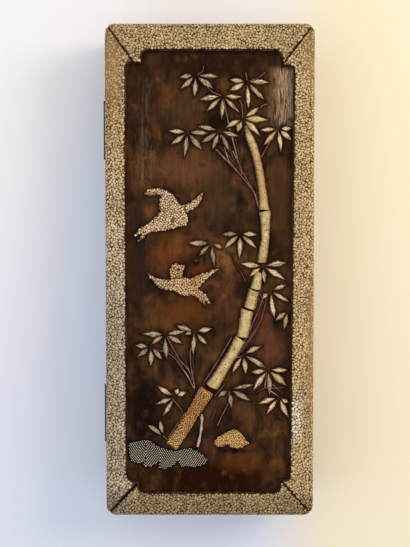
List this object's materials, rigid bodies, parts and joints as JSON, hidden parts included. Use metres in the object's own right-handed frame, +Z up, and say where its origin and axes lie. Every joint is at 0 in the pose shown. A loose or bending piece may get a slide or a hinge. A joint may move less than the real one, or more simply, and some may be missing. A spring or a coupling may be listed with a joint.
{
  "type": "writing box",
  "caption": "Long narrow writing box with a hinged lid: ray skin borders round a sunken lacquer panel with a relief of bamboo and birds; inkstone and brushes inside.",
  "frame": {"origin": "centre of the base's underside, on the surface the box stands on", "axes": "+Z up, +Y along the box towards the head of the picture, hinges on the -X side"},
  "size_m": [0.1035, 0.24, 0.04],
  "materials": {
    "ray_skin": "polished cream ray skin on dark ground",
    "sparrow_skin": "fine polished ray skin",
    "golden_skin": "fine golden ray skin",
    "wood": "plain planed wood",
    "black_lacquer": "black lacquer, satin",
    "lip_lacquer": "red-brown lacquer",
    "panel_lacquer": "dark brown streaked lacquer, gloss",
    "twig_lacquer": "dark red-brown raised lacquer",
    "bone": "polished bone",
    "leaf_shell": "polished pale chips",
    "rock_grey": "cross-hatched grey",
    "black_iron": "black finish",
    "inkstone": "fine grained slate, matt",
    "glaze": "pale celadon glaze",
    "ink": "pressed soot cake",
    "bamboo_handle": "smooth bamboo",
    "horn": "dark horn",
    "hair": "pale hair"
  },
  "bodies": {
    "base": {"base_floor": "black_lacquer", "base_rim": "black_lacquer", "base_skin_foot": "ray_skin", "base_skin_head": "ray_skin", "base_skin_hinge_side": "ray_skin", "base_skin_open_side": "ray_skin", "base_wall_foot": "wood", "base_wall_head": "wood", "base_wall_hinge_side": "wood", "base_wall_open_side": "wood", "brush_rests": "black_lacquer", "fitted_board": "black_lacquer", "hinge_base_screws": "black_iron", "hinge_foot_base_leaf": "black_iron", "hinge_head_base_leaf": "black_iron", "hinge_pins": "black_iron", "ink_stick": "ink", "inkstone": "inkstone", "large_brush_ferrule": "horn", "large_brush_handle": "bamboo_handle", "large_brush_tuft": "hair", "small_brush_ferrule": "horn", "small_brush_handle": "bamboo_handle", "small_brush_tuft": "hair", "water_dropper": "glaze"},
    "lid": {"bamboo_leaves": "leaf_shell", "bamboo_twigs": "twig_lacquer", "culm_1": "bone", "culm_2": "bone", "culm_3": "bone", "culm_4": "bone", "culm_5": "bone", "culm_6": "bone", "culm_foot": "golden_skin", "hinge_foot_lid_leaf": "black_iron", "hinge_head_lid_leaf": "black_iron", "hinge_lid_screws": "black_iron", "lid_board": "wood", "lid_panel": "panel_lacquer", "lid_rail_foot": "wood", "lid_rail_head": "wood", "lid_rail_hinge_side": "wood", "lid_rail_open_side": "wood", "lid_rim": "black_lacquer", "lid_skin_foot": "ray_skin", "lid_skin_head": "ray_skin", "lid_skin_hinge_side": "ray_skin", "lid_skin_open_side": "ray_skin", "lid_wall_foot": "wood", "lid_wall_head": "wood", "lid_wall_hinge_side": "wood", "lid_wall_open_side": "wood", "lower_sparrow": "sparrow_skin", "mound": "golden_skin", "panel_lip": "lip_lacquer", "panel_stud": "bone", "rock_bank": "rock_grey", "upper_sparrow": "sparrow_skin", "young_shoot": "bone"}
  },
  "joints": [
    {"name": "lid_hinge", "type": "hinge", "parent": "base", "child": "lid", "pos_m": [-0.0515, 0, 0.02715], "axis": [0, -1, 0], "range_deg": [0, 105]}
  ]
}
